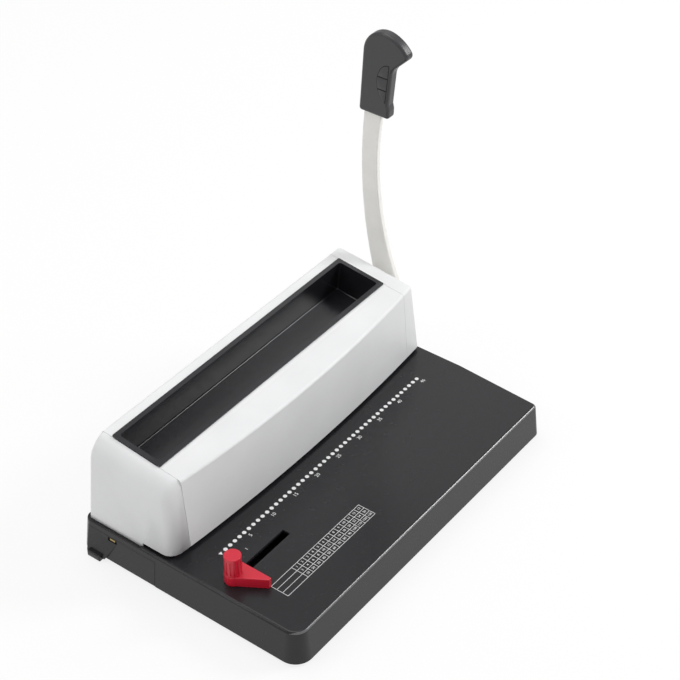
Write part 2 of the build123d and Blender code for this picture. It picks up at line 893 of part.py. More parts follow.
# The press bar rides on two posts, carries the punch pins and is lifted by two springs.
ear_rear = post_y + ear_width / 2
retainer_screw_places = [
    (share * row_half, punch_line + end * (bar_width / 2 - base_screw_diameter))
    for share, end in ((-3 / 4, 1), (-1 / 4, -1), (1 / 4, 1), (3 / 4, -1))
]
with BuildPart() as press_bar:
    with BuildSketch(level(bar_low)):
        with Locations((0, punch_line)):
            Rectangle(2 * bar_half, bar_width)
        for x, y in post_places:
            with Locations((x, (punch_line + ear_rear) / 2)):
                Rectangle(2 * post_inset, ear_rear - punch_line)
        with Locations(*post_places):
            Circle(post_diameter / 2 + post_fit, mode=Mode.SUBTRACT)
        with Locations(*pin_places):
            Circle(pin_diameter / 2, mode=Mode.SUBTRACT)
        with Locations(*retainer_screw_places):
            Circle(base_screw_diameter / 2, mode=Mode.SUBTRACT)
    extrude(amount=bar_thickness)
    with BuildSketch(level(bar_top)):
        with Locations(*pin_places):
            Circle(pin_head_radius)
    extrude(amount=-pin_head_thickness, mode=Mode.SUBTRACT)
press_bar.part.label = "press_bar"

pin_low = guide_plate_low + pin_tip_rise
with BuildPart() as punch_pins:
    with BuildSketch(level(pin_low)):
        with Locations(*pin_places):
            Circle(pin_diameter / 2)
    extrude(amount=bar_top - pin_head_thickness - pin_low)
    with BuildSketch(level(bar_top)):
        with Locations(*pin_places):
            Circle(pin_head_radius)
    extrude(amount=-pin_head_thickness)
punch_pins.part.label = "punch_pins"

with BuildPart() as pin_retainer:
    with BuildSketch(level(bar_top)):
        with Locations((0, punch_line)):
            Rectangle(2 * bar_half, bar_width)
    extrude(amount=retainer_thickness)
    for x, y in retainer_screw_places:
        with Locations(level(retainer_top) * Location((x, y, 0))):
            CounterSinkHole(
                base_screw_diameter / 2 + pin_hole_fit,
                base_screw_diameter * screw_head_share + pin_hole_fit,
                retainer_thickness,
                sink_angle,
            )
pin_retainer.part.label = "pin_retainer"

retainer_screws = screws(
    [seat(x, y, retainer_top, (0, 0, 1)) for x, y in retainer_screw_places],
    base_screw_diameter,
    bar_thickness + retainer_thickness - screw_end_gap,
    sunk=True,
)
retainer_screws.part.label = "retainer_screws"


def guide_post(x):
    """A post riveted into the bed, on which one end of the press bar slides."""
    with BuildPart() as post:
        with BuildSketch(level(base_top)):
            with Locations((x, post_y)):
                Circle(post_diameter / 2)
        extrude(amount=bar_top + post_top_margin - base_top)
        chamfer(post.faces().sort_by(Axis.Z)[-1].edges(), post_diameter / 10)
        with BuildSketch(level(bed_low)):
            with Locations((x, post_y)):
                Circle(post_diameter / 4)
        extrude(amount=base_roof)
    return post


left_guide_post = guide_post(-post_x)
left_guide_post.part.label = "left_guide_post"
right_guide_post = guide_post(post_x)
right_guide_post.part.label = "right_guide_post"

spring_radius = post_diameter / 2 + spring_clearance + spring_wire / 2
spring_low = base_top + spring_wire / 2 + spring_end_gap
spring_high = bar_low - spring_wire / 2 - spring_end_gap


def return_spring(x):
    """A compression spring round a post, one unbroken wire between bed and bar."""
    centre = Vector(mid_x + x, post_y, 0)
    path = coil_path(centre, spring_radius, spring_low, spring_high, spring_turns)
    with BuildPart() as spring:
        with BuildSketch(Plane(origin=path @ 0, z_dir=path % 0)):
            Circle(spring_wire / 2)
        sweep(path=path)
    return spring


left_return_spring = return_spring(-post_x)
left_return_spring.part.label = "left_return_spring"
right_return_spring = return_spring(post_x)
right_return_spring.part.label = "right_return_spring"


def least_gap(samples=12):
    """The least gap between one turn of the spring's wire and the next, on sampled points."""
    path = coil_path(Vector(), spring_radius, spring_low, spring_high, spring_turns)
    points = [path @ (step / (spring_turns * samples)) for step in range(spring_turns * samples + 1)]
    spans = [
        (points[far] - points[near]).length
        for near in range(len(points))
        for far in range(near + samples // 2, len(points))
    ]
    return min(spans) - spring_wire


print("least gap of each return spring to itself:", round(least_gap(), 2), "mm")

# The casing: a front and a rear cover between the seams, and a cap at each end.
cover_low = guide_plate_low + throat_lip
seam_inner = seam_half - seam_gap / 2
seam_outer = seam_half + seam_gap / 2
front_boss_start = front_tie[0] - tie_rod_diameter / 2
front_boss_end = casing_front_at(front_tie[1], cover_boss_spread) + casing_wall / 2
rear_boss_start = rear_tie[0] + tie_rod_diameter / 2
rear_boss_end = casing_rear_at(rear_tie[1]) - casing_wall / 2
with BuildPart() as cover_ring:
    add(casing_outer)
    add(casing_inner, mode=Mode.SUBTRACT)
    with BuildSketch(level(skirt_low)):
        with Locations((0, casing_rear / 2)):
            Rectangle(2 * seam_inner, 2 * casing_rear)
    extrude(amount=2 * casing_height, mode=Mode.INTERSECT)
    with BuildSketch(roof):
        with Locations((0, tray_width / 2)):
            Rectangle(casing_width, tray_width - 2 * cover_lap)
    extrude(amount=casing_corner, both=True, mode=Mode.SUBTRACT)
cover_shells = cover_ring.part.solids().sort_by(Axis.Y)

with BuildPart() as front_cover:
    add(cover_shells[0])
    with BuildSketch(level(skirt_low)):
        Rectangle(casing_width, 2 * casing_rear)
    extrude(amount=cover_low - skirt_low, mode=Mode.SUBTRACT)
    with BuildSketch(along(front_boss_start)):
        with Locations((-cover_boss_spread, front_tie[1]), (cover_boss_spread, front_tie[1])):
            Circle(cover_boss_diameter / 2)
            Circle(base_screw_diameter / 2, mode=Mode.SUBTRACT)
    extrude(amount=front_boss_start - front_boss_end)
front_cover.part.label = "front_cover"

with BuildPart() as rear_cover:
    add(cover_shells[-1])
    with BuildSketch(along(rear_boss_start)):
        with Locations((-cover_boss_spread, rear_tie[1]), (cover_boss_spread, rear_tie[1])):
            Circle(cover_boss_diameter / 2)
            Circle(base_screw_diameter / 2, mode=Mode.SUBTRACT)
    extrude(amount=rear_boss_start - rear_boss_end)
rear_cover.part.label = "rear_cover"

cover_screws = screws(
    [
        seat(x, place[0] + side * tie_rod_diameter / 2, place[1], (0, side, 0))
        for x in (-cover_boss_spread, cover_boss_spread)
        for place, side in ((front_tie, 1), (rear_tie, -1))
    ],
    base_screw_diameter,
    tie_rod_diameter + boss_diameter,
)
cover_screws.part.label = "cover_screws"


def end_cap(side):
    """An end cap; the paper throat stays open under its front part."""
    with BuildPart() as cap:
        add(casing_outer)
        add(casing_inner, mode=Mode.SUBTRACT)
        with BuildSketch(cross(side * seam_outer)):
            with Locations((casing_rear / 2, base_top)):
                Rectangle(2 * casing_rear, 4 * casing_height)
        extrude(amount=side * casing_width / 2, mode=Mode.INTERSECT)
        with BuildSketch(level(skirt_low)):
            with Locations((0, skirt_front - casing_rear / 2)):
                Rectangle(casing_width + base_width, casing_rear)
        extrude(amount=cover_low - skirt_low, mode=Mode.SUBTRACT)
        for y, z in cap_screw_seats:
            with BuildSketch(cross(side * frame_outer)):
                with Locations((y, z)):
                    Circle(cap_boss_radius)
                    Circle(tie_screw_diameter / 2, mode=Mode.SUBTRACT)
            extrude(amount=side * (casing_half(z) - casing_wall / 2 - frame_outer))
        if side > 0:
            with BuildSketch(hub(frame_outer)):
                Circle(shaft_diameter / 2 + spacer_wall + 2 * clip_gap)
            extrude(amount=casing_width / 2, mode=Mode.SUBTRACT)
    return cap


left_end_cap = end_cap(-1)
left_end_cap.part.label = "left_end_cap"
right_end_cap = end_cap(1)
right_end_cap.part.label = "right_end_cap"

cap_screws = screws(
    [
        seat(side * frame_inner, y, z, (-side, 0, 0))
        for side in (-1, 1)
        for y, z in cap_screw_seats
    ],
    tie_screw_diameter,
    frame_thickness + boss_diameter,
)
cap_screws.part.label = "cap_screws"

# The tray lies in the roof's opening and hangs from its rim.
with BuildPart() as coil_tray:
    with BuildSketch(roof):
        with Locations((0, tray_width / 2)):
            RectangleRounded(2 * seam_inner, tray_width, tray_rim)
    extrude(amount=tray_rim)
    add(tray_form(tray_border - tray_wall, tray_depth + tray_wall, 0))
    add(tray_form(tray_border, tray_depth, tray_rim), mode=Mode.SUBTRACT)
coil_tray.part.label = "coil_tray"


def arm_outline():
    """The arm from its eye round the shaft up to the grip, as one closed line."""
    top_front = arm_top_rear - arm_top_width
    front_angle = radians(arm_front_angle)
    with BuildLine() as outline:
        rear = ThreePointArc(
            (arm_neck_rear, arm_neck_height),
            (arm_middle_rear, arm_middle_height),
            (arm_top_rear, arm_length),
        )
        Polyline(
            rear @ 1,
            (arm_top_rear - tang_shoulder, arm_length),
            (arm_top_rear - tang_shoulder, arm_length + tang_length),
            (top_front + tang_shoulder, arm_length + tang_length),
            (top_front + tang_shoulder, arm_length),
            (top_front, arm_length),
        )
        front = ThreePointArc(
            (top_front, arm_length),
            (arm_middle_rear - arm_middle_width, arm_middle_height),
            (-arm_eye_radius * cos(front_angle), arm_eye_radius * sin(front_angle)),
        )
        TangentArc(front @ 1, rear @ 0, tangent=front % 1)
    return outline.line


with BuildPart() as handle_arm:
    with BuildSketch(hub(arm_inner)) as arm_face:
        with BuildLine():
            add(arm_outline())
        make_face()
        neck = arm_face.vertices().sort_by_distance(Vector(arm_neck_rear, arm_neck_height))[0]
        fillet(neck, arm_neck_round)
    extrude(amount=arm_thickness)
    visible = handle_arm.edges().filter_by_position(
        Axis.Z, 0, shaft_height + arm_length - arm_edge_round
    )
    fillet(visible.filter_by(Axis.X, reverse=True), arm_edge_round)
    with BuildSketch(hub(arm_inner)):
        Circle(shaft_diameter / 2 + pin_hole_fit)
        Rectangle(
            2 * shaft_diameter,
            shaft_diameter - 2 * flat_depth + 2 * pin_hole_fit,
            mode=Mode.INTERSECT,
        )
    extrude(amount=arm_thickness, mode=Mode.SUBTRACT)
handle_arm.part.label = "handle_arm"

# The grip: a straight back, a rounded crown, a hooked nose over the fingers and a low guard.
grip_rear = arm_top_rear + grip_overhang


def grip_point(place):
    """A point of the grip's outline, given as distance before its rear foot and height."""
    return (grip_rear - place[0], arm_length + place[1])


with BuildPart() as handle_grip:
    with BuildSketch(hub((arm_inner + arm_outer - grip_thickness) / 2)) as grip_face:
        with BuildLine():
            back = Line((grip_rear, arm_length), grip_point(grip_back))
            shoulder = TangentArc(back @ 1, grip_point(grip_shoulder), tangent=back % 1)
            crown = TangentArc(shoulder @ 1, grip_point(grip_crown), tangent=shoulder % 1)
            brow = TangentArc(crown @ 1, grip_point(grip_brow), tangent=crown % 1)
            nose = TangentArc(brow @ 1, grip_point(grip_nose), tangent=brow % 1)
            hook = Line(nose @ 1, grip_point(grip_hook))
            finger = TangentArc(hook @ 1, grip_point(grip_finger), tangent=hook % 1)
            Polyline(
                finger @ 1,
                grip_point(grip_waist),
                grip_point(grip_guard),
                grip_point(grip_heel),
                back @ 0,
            )
        make_face()
        fillet(grip_face.vertices().group_by(Axis.Z)[0], grip_foot_round)
    extrude(amount=grip_thickness)
    fillet(handle_grip.edges().filter_by(Axis.X, reverse=True), grip_round)
    with BuildSketch(hub(arm_inner)):
        with Locations((arm_top_rear - arm_top_width / 2, arm_length + tang_length / 2)):
            Rectangle(arm_top_width - 2 * tang_shoulder, tang_length)
    extrude(amount=arm_thickness, mode=Mode.SUBTRACT)
handle_grip.part.label = "handle_grip"

with BuildPart() as hub_spacer:
    with BuildSketch(hub(bush_outer + clip_gap)):
        Circle(shaft_diameter / 2 + spacer_wall)
        Circle(shaft_diameter / 2, mode=Mode.SUBTRACT)
    extrude(amount=arm_inner - bush_outer - clip_gap)
hub_spacer.part.label = "hub_spacer"

with BuildPart() as hub_washer:
    with BuildSketch(hub(arm_outer)):
        Circle(washer_diameter / 2)
        Circle(hub_bolt_diameter / 2, mode=Mode.SUBTRACT)
    extrude(amount=washer_thickness)
hub_washer.part.label = "hub_washer"

hub_bolt = screws(
    [seat(arm_outer + washer_thickness, punch_line, shaft_height, (1, 0, 0))],
    hub_bolt_diameter,
    washer_thickness + 3 * hub_bolt_diameter,
)
hub_bolt.part.label = "hub_bolt"

# The side guide: a foot that slides in the slot, a stop arm and a knob that clamps it.
guide_low = base_top + slide_gap
guide_top = guide_low + guide_height
clamp_high = bed_low - slide_gap
clamp_low = clamp_high - clamp_thickness
knob_low = guide_top + slide_gap


def guide_plane(height):
    """A horizontal plane centred on the guide's knob."""
    return Plane(origin=(mid_x + guide_rest, slot_line, height))


with BuildPart() as side_guide:
    with BuildSketch(guide_plane(guide_low)):
        Circle(guide_disc_radius)
        Polygon(
            (0, guide_disc_radius),
            (guide_stop_offset, guide_stop_rise),
            (guide_stop_offset, -guide_reach),
            (guide_stop_offset - guide_tip_width, -guide_reach),
            (
                -guide_disc_radius * cos(radians(guide_heel_angle)),
                -guide_disc_radius * sin(radians(guide_heel_angle)),
            ),
            align=None,
        )
    extrude(amount=guide_height)
    fillet(side_guide.edges().filter_by(Axis.Z).sort_by(Axis.Y)[:2], guide_tip_width / 4)
    fillet(side_guide.faces().sort_by(Axis.Z)[-1].edges(), guide_tip_width / 5)
    with BuildSketch(guide_plane(bed_low + slide_gap)):
        Rectangle(key_length, slot_width - 2 * key_gap)
    extrude(amount=guide_low - bed_low - slide_gap)
    with BuildSketch(guide_plane(bed_low)):
        Circle(stud_diameter / 2)
    extrude(amount=guide_top - bed_low, mode=Mode.SUBTRACT)
side_guide.part.label = "side_guide"

with BuildPart() as guide_clamp:
    with BuildSketch(guide_plane(clamp_low)):
        RectangleRounded(clamp_length, clamp_width, clamp_thickness)
        Circle(stud_diameter / 2, mode=Mode.SUBTRACT)
    extrude(amount=clamp_thickness)
guide_clamp.part.label = "guide_clamp"

stud_top = knob_low + insert_height
with BuildPart() as guide_stud:
    with BuildSketch(guide_plane(clamp_low)):
        Circle(stud_diameter / 2)
    extrude(amount=stud_top - clamp_low)
    with BuildSketch(guide_plane(clamp_low)):
        RegularPolygon(stud_head / 2, 6)
    extrude(amount=-clamp_thickness)
guide_stud.part.label = "guide_stud"

with BuildPart() as guide_knob:
    with BuildSketch(guide_plane(knob_low)):
        Circle(knob_diameter / 2)
    extrude(amount=knob_height)
    fillet(guide_knob.faces().sort_by(Axis.Z)[-1].edges(), knob_edge_round)
    with BuildSketch(guide_plane(knob_low + knob_skirt)):
        with PolarLocations(knob_diameter / 2, knob_flutes):
            Circle(flute_radius)
    extrude(amount=knob_height - 3 * knob_skirt, mode=Mode.SUBTRACT)
    with BuildSketch(guide_plane(knob_low)):
        Circle(stud_diameter / 2 + insert_wall)
    extrude(amount=insert_height + stud_end_gap, mode=Mode.SUBTRACT)
guide_knob.part.label = "guide_knob"

with BuildPart() as knob_insert:
    with BuildSketch(guide_plane(knob_low)):
        Circle(stud_diameter / 2 + insert_wall)
        Circle(stud_diameter / 2 + running_fit, mode=Mode.SUBTRACT)
    extrude(amount=insert_height + stud_end_gap)
knob_insert.part.label = "knob_insert"

# The waste drawer: its face is flush with the drafted wall and swells to a finger pull.
panel_low = base_low + drawer_gap
drawer_low = plate_top + drawer_gap
panel_middle = (drawer_front + drawer_panel_rear) / 2
recess_low = drawer_top - catch_drop
catch_low = recess_low + (recess_height - catch_height) / 2
catch_middle = drawer_rear - catch_setback
catch_x = base_half - (catch_low - base_low) * tan(radians(base_draft)) - recess_depth
with BuildPart() as drawer_panel_shell:
    add(base_outer)
    add(base_form(drawer_panel, base_top), mode=Mode.SUBTRACT)
    with BuildSketch(cross(-base_half)):
        with Locations((panel_middle, (panel_low + drawer_top) / 2)):
            Rectangle(drawer_panel_rear - drawer_front, drawer_top - panel_low)
    extrude(amount=base_half / 2, mode=Mode.INTERSECT)

with BuildPart() as drawer_block:
    with BuildSketch(level(drawer_low)):
        with Locations((-base_half + drawer_length / 2, (drawer_front + drawer_rear) / 2)):
            Rectangle(drawer_length, drawer_rear - drawer_front)
    extrude(amount=drawer_top - drawer_low)
    add(base_outer, mode=Mode.INTERSECT)

flare_top = base_low + flare_height
flare_top_x = flare_height * tan(radians(base_draft)) - base_half
with BuildPart() as drawer_flare:
    with BuildSketch(along(drawer_panel_rear)):
        Polygon(
            (-base_half - flare_reach, panel_low),
            (flare_top_x, flare_top),
            (flare_top_x + drawer_panel / 2, flare_top),
            (drawer_panel / 2 - base_half, panel_low),
            align=None,
        )
    extrude(amount=flare_top_front)
    with BuildSketch(cross(-pull_outer)):
        Polygon(
            (drawer_panel_rear, panel_low),
            (drawer_panel_rear, flare_top),
            (drawer_panel_rear - flare_top_front, flare_top),
            (drawer_panel_rear - flare_low_front, panel_low),
            align=None,
        )
    extrude(amount=pull_outer - base_half + pull_root, mode=Mode.INTERSECT)

with BuildPart() as waste_drawer:
    add(drawer_panel_shell.part)
    add(drawer_block.part)
    add(drawer_flare.part)
    with BuildSketch(level(drawer_low + drawer_wall)):
        inner_left = -base_half + drawer_front_block
        inner_right = -base_half + drawer_length - drawer_wall
        with Locations(((inner_left + inner_right) / 2, (drawer_front + drawer_rear) / 2)):
            Rectangle(inner_right - inner_left, drawer_rear - drawer_front - 2 * drawer_wall)
    extrude(amount=drawer_top, mode=Mode.SUBTRACT)
    with BuildSketch(level(pull_low)):
        with Locations((-pull_outer, pull_middle)):
            Rectangle(
                pull_outer - base_half + pull_root,
                pull_width,
                align=(Align.MIN, Align.CENTER),
            )
    extrude(amount=pull_height)
    fillet(waste_drawer.faces().sort_by(Axis.X)[0].edges(), pull_edge_round)
    with BuildSketch(cross(-base_half)):
        with Locations((catch_middle, recess_low + recess_height / 2)):
            Rectangle(recess_width, recess_height)
    extrude(amount=base_half - catch_x, mode=Mode.SUBTRACT)
    with BuildSketch(cross(-catch_x)):
        with Locations((catch_middle, catch_low + catch_height / 2)):
            Circle(catch_rivet_diameter / 2 + pin_hole_fit)
    extrude(amount=catch_rivet_length, mode=Mode.SUBTRACT)
waste_drawer.part.label = "waste_drawer"

# A small brass leaf, riveted into a recess at the top of the drawer's face.
with BuildPart() as drawer_catch:
    with BuildSketch(cross(-catch_x)):
        with Locations((catch_middle, catch_low + catch_height / 2)):
            Rectangle(catch_width, catch_height)
    extrude(amount=-catch_thickness)
    with BuildSketch(cross(-catch_x)):
        with Locations((catch_middle, catch_low + catch_height / 2)):
            Circle(catch_rivet_diameter / 2)
    extrude(amount=catch_rivet_length)
drawer_catch.part.label = "drawer_catch"

pieces = [
    base_cover, bottom_plate, rubber_feet, base_screws, drawer_rails,
    die_bed, back_stop, pin_guide_plate, guide_plate_screws,
    left_side_frame, right_side_frame, frame_screws, front_tie_rod, rear_tie_rod, tie_screws,
    left_shaft_bush, right_shaft_bush, main_shaft, shaft_clip, left_cam, right_cam, cam_pins,
    press_bar, punch_pins, pin_retainer, retainer_screws,
    left_guide_post, right_guide_post, left_return_spring, right_return_spring,
    front_cover, rear_cover, cover_screws, left_end_cap, right_end_cap, cap_screws, coil_tray,
    handle_arm, handle_grip, hub_spacer, hub_washer, hub_bolt,
    side_guide, guide_clamp, guide_stud, guide_knob, knob_insert,
    waste_drawer, drawer_catch,
]
os.makedirs("parts", exist_ok=True)
for piece in pieces:
    export_step(piece.part, f"parts/{piece.part.label}.step")
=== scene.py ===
"""A hand-lever punch for spiral-bound documents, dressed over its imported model."""

import json
import logging
import math
from dataclasses import dataclass, field
from enum import Enum

import bmesh
import bpy
from mathutils import Matrix, Vector


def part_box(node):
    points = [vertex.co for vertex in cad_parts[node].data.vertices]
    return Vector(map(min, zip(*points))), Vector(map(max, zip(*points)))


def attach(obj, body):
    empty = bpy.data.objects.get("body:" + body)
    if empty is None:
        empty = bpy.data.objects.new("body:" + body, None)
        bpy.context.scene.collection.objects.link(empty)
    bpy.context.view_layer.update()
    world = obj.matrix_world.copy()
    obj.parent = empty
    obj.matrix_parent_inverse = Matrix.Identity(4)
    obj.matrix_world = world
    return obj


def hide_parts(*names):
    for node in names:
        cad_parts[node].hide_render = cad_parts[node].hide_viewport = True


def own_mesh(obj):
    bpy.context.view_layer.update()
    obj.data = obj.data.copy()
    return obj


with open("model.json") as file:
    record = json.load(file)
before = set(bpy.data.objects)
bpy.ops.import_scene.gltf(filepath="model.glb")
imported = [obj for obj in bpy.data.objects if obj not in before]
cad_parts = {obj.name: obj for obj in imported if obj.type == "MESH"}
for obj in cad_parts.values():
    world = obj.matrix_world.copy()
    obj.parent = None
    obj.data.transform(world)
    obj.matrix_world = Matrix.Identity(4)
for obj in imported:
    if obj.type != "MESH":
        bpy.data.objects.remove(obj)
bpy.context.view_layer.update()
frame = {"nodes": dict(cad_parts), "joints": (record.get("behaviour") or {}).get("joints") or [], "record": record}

MM = 0.001
NOISE_LOW = 0.3
NOISE_HIGH = 0.7
ROUND_PROFILE = 0.5
Colour = tuple[float, float, float]
Place = tuple[float, float, float]
log = logging.getLogger("binding_machine")


def machine_middle() -> float:
    """The machine's middle along X, in metres, taken from the die bed, which is even about it."""
    low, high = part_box("die_bed")
    return (low.x + high.x) / 2


def cut(mesh: bmesh.types.BMesh, place: Place, facing: Place, drop: bool = True) -> None:
    """Cut a mesh along a plane.

    Args:
        mesh: The mesh.
        place: A point on the plane.
        facing: The direction that the plane looks in.
        drop: Whether what lies in front of the plane is taken away.
    """
    bmesh.ops.bisect_plane(
        mesh,
        geom=[*mesh.verts, *mesh.edges, *mesh.faces],
        plane_co=place,
        plane_no=facing,
        clear_outer=drop,
    )


def prism(mesh: bmesh.types.BMesh, sides: int, radius: float, depth: float, place: Matrix) -> None:
    """Add a prism, which is a round disc or peg where it has many sides.

    Args:
        mesh: The mesh that takes it.
        sides: The number of its sides.
        radius: Its radius.
        depth: Its length.
        place: Its middle, turned from Z to its own axis.
    """
    bmesh.ops.create_cone(
        mesh, cap_ends=True, segments=sides, radius1=radius, radius2=radius, depth=depth, matrix=place
    )


def stand(name: str, mesh: bmesh.types.BMesh) -> bpy.types.Object:
    """Put a mesh into the scene.

    Args:
        name: The object's name, which its data take too.
        mesh: Its shape. It is freed.

    Returns:
        The object.
    """
    data = bpy.data.meshes.new(name)
    mesh.to_mesh(data)
    mesh.free()
    made = bpy.data.objects.new(name, data)
    bpy.context.scene.collection.objects.link(made)
    return made


class NodeSheet:
    """The node tree of one material, with short calls to add and join nodes."""

    def __init__(self, name: str) -> None:
        """Start an empty material.

        Args:
            name: The material's name.
        """
        self.material = bpy.data.materials.new(name)
        self.material.use_nodes = True
        self.tree = self.material.node_tree
        self.shader = self.tree.nodes["Principled BSDF"]

    def add(self, kind: str, **inputs: object) -> bpy.types.Node:
        """Add a node and set its inputs.

        Args:
            kind: The node's type without the leading ShaderNode.
            inputs: Input values by name, with spaces written as underscores.

        Returns:
            The new node.
        """
        node = self.tree.nodes.new("ShaderNode" + kind)
        for name, value in inputs.items():
            node.inputs[name.replace("_", " ")].default_value = value
        return node

    def join(self, source: bpy.types.NodeSocket, target: bpy.types.NodeSocket) -> None:
        """Link two sockets."""
        self.tree.links.new(source, target)

    def noise(self, spacing: float, detail: float = 3.0) -> bpy.types.NodeSocket:
        """Add noise on the object's own coordinates.

        Args:
            spacing: The size of one grain, in metres.
            detail: Noise octaves.

        Returns:
            The noise's value, from 0 to 1.
        """
        place = self.add("TexCoord")
        grain = self.add("TexNoise", Scale=1.0 / spacing, Detail=detail)
        self.join(place.outputs["Object"], grain.inputs["Vector"])
        return grain.outputs["Fac"]

    def remap(self, value: bpy.types.NodeSocket, low: float, high: float) -> bpy.types.NodeSocket:
        """Stretch noise, which stays near its middle, to a range.

        Args:
            value: The noise.
            low: The result where the noise is low.
            high: The result where the noise is high.

        Returns:
            The remapped value.
        """
        span = self.add("MapRange", From_Min=NOISE_LOW, From_Max=NOISE_HIGH, To_Min=low, To_Max=high)
        self.join(value, span.inputs["Value"])
        return span.outputs["Result"]

    def tint(self, value: bpy.types.NodeSocket, dark: Colour, light: Colour) -> None:
        """Colour the surface between two tones.

        Args:
            value: Where the colour lies between the tones, from 0 to 1.
            dark: The tone at 0.
            light: The tone at 1.
        """
        mix = self.tree.nodes.new("ShaderNodeMix")
        mix.data_type = "RGBA"
        mix.inputs["A"].default_value = (*dark, 1.0)
        mix.inputs["B"].default_value = (*light, 1.0)
        self.join(value, mix.inputs["Factor"])
        self.join(mix.outputs["Result"], self.shader.inputs["Base Color"])

    def emboss(self, height: bpy.types.NodeSocket, depth: float) -> None:
        """Raise the surface without changing its mesh.

        Args:
            height: The height, from 0 to 1.
            depth: The height at 1, in metres.
        """
        bump = self.add("Bump", Strength=1.0, Distance=depth)
        self.join(height, bump.inputs["Height"])
        self.join(bump.outputs["Normal"], self.shader.inputs["Normal"])


def shade(colour: Colour, factor: float) -> Colour:
    """A colour made lighter or darker by a factor."""
    return tuple(min(1.0, channel * factor) for channel in colour)


@dataclass(frozen=True)
class MouldedPlastic:
    """A moulding with a fine spark-eroded grain and faint broad mottling."""

    name: str
    colour: Colour
    roughness: float
    grain: float = 0.35 * MM
    relief: float = 0.012 * MM
    mottle: float = 0.03
    sheen: float = 0.5
    mottle_spacing: float = 55 * MM
    handling_spacing: float = 9 * MM
    roughness_swing: float = 0.02

    def material(self) -> bpy.types.Material:
        """Build the finish.

        Returns:
            Its material.
        """
        sheet = NodeSheet(self.name)
        broad = sheet.remap(sheet.noise(self.mottle_spacing, detail=4.0), 0.0, 1.0)
        sheet.tint(broad, shade(self.colour, 1 - self.mottle), shade(self.colour, 1 + self.mottle))
        handled = sheet.noise(self.handling_spacing, detail=5.0)
        rough = sheet.remap(
            handled, self.roughness - self.roughness_swing, self.roughness + self.roughness_swing
        )
        sheet.join(rough, sheet.shader.inputs["Roughness"])
        sheet.emboss(sheet.noise(self.grain, detail=2.0), self.relief)
        sheet.shader.inputs["Specular IOR Level"].default_value = self.sheen
        return sheet.material


@dataclass(frozen=True)
class PowderCoat:
    """A sprayed coat with orange peel over steel."""

    name: str
    colour: Colour
    roughness: float
    peel: float = 1.6 * MM
    relief: float = 0.03 * MM
    tone_spacing: float = 30 * MM
    darkest: float = 0.95
    lightest: float = 1.03
    handling_spacing: float = 6 * MM
    roughness_swing: float = 0.06

    def material(self) -> bpy.types.Material:
        """Build the finish.

        Returns:
            Its material.
        """
        sheet = NodeSheet(self.name)
        broad = sheet.remap(sheet.noise(self.tone_spacing, detail=4.0), 0.0, 1.0)
        sheet.tint(broad, shade(self.colour, self.darkest), shade(self.colour, self.lightest))
        handled = sheet.noise(self.handling_spacing)
        rough = sheet.remap(
            handled, self.roughness - self.roughness_swing, self.roughness + self.roughness_swing
        )
        sheet.join(rough, sheet.shader.inputs["Roughness"])
        sheet.emboss(sheet.noise(self.peel, detail=2.0), self.relief)
        return sheet.material


@dataclass(frozen=True)
class BareMetal:
    """Metal with drawn scratches along one axis."""

    name: str
    colour: Colour
    roughness: float
    stretch: Place = (0.04, 1.0, 1.0)
    line_spacing: float = 0.5 * MM
    line_relief: float = 0.01 * MM
    darkest: float = 0.85
    lightest: float = 1.08
    smoother: float = 0.08
    rougher: float = 0.1

    def material(self) -> bpy.types.Material:
        """Build the finish.

        Returns:
            Its material.
        """
        sheet = NodeSheet(self.name)
        place = sheet.add("TexCoord")
        drawn = sheet.add("Mapping", Scale=self.stretch)
        lines = sheet.add("TexNoise", Scale=1.0 / self.line_spacing, Detail=4.0)
        sheet.join(place.outputs["Object"], drawn.inputs["Vector"])
        sheet.join(drawn.outputs["Vector"], lines.inputs["Vector"])
        scratch = lines.outputs["Fac"]
        tone = sheet.remap(scratch, 0.0, 1.0)
        sheet.tint(tone, shade(self.colour, self.darkest), shade(self.colour, self.lightest))
        rough = sheet.remap(scratch, self.roughness - self.smoother, self.roughness + self.rougher)
        sheet.join(rough, sheet.shader.inputs["Roughness"])
        sheet.emboss(scratch, self.line_relief)
        sheet.shader.inputs["Metallic"].default_value = 1.0
        return sheet.material


@dataclass(frozen=True)
class PrintedInk:
    """Screen ink, a little uneven where it lies on the grain."""

    name: str
    colour: Colour
    speckle_spacing: float = 0.5 * MM
    darkest: float = 0.93
    roughness: float = 0.5

    def material(self) -> bpy.types.Material:
        """Build the finish.

        Returns:
            Its material.
        """
        sheet = NodeSheet(self.name)
        speckle = sheet.remap(sheet.noise(self.speckle_spacing, detail=2.0), 0.0, 1.0)
        sheet.tint(speckle, shade(self.colour, self.darkest), self.colour)
        sheet.shader.inputs["Roughness"].default_value = self.roughness
        return sheet.material


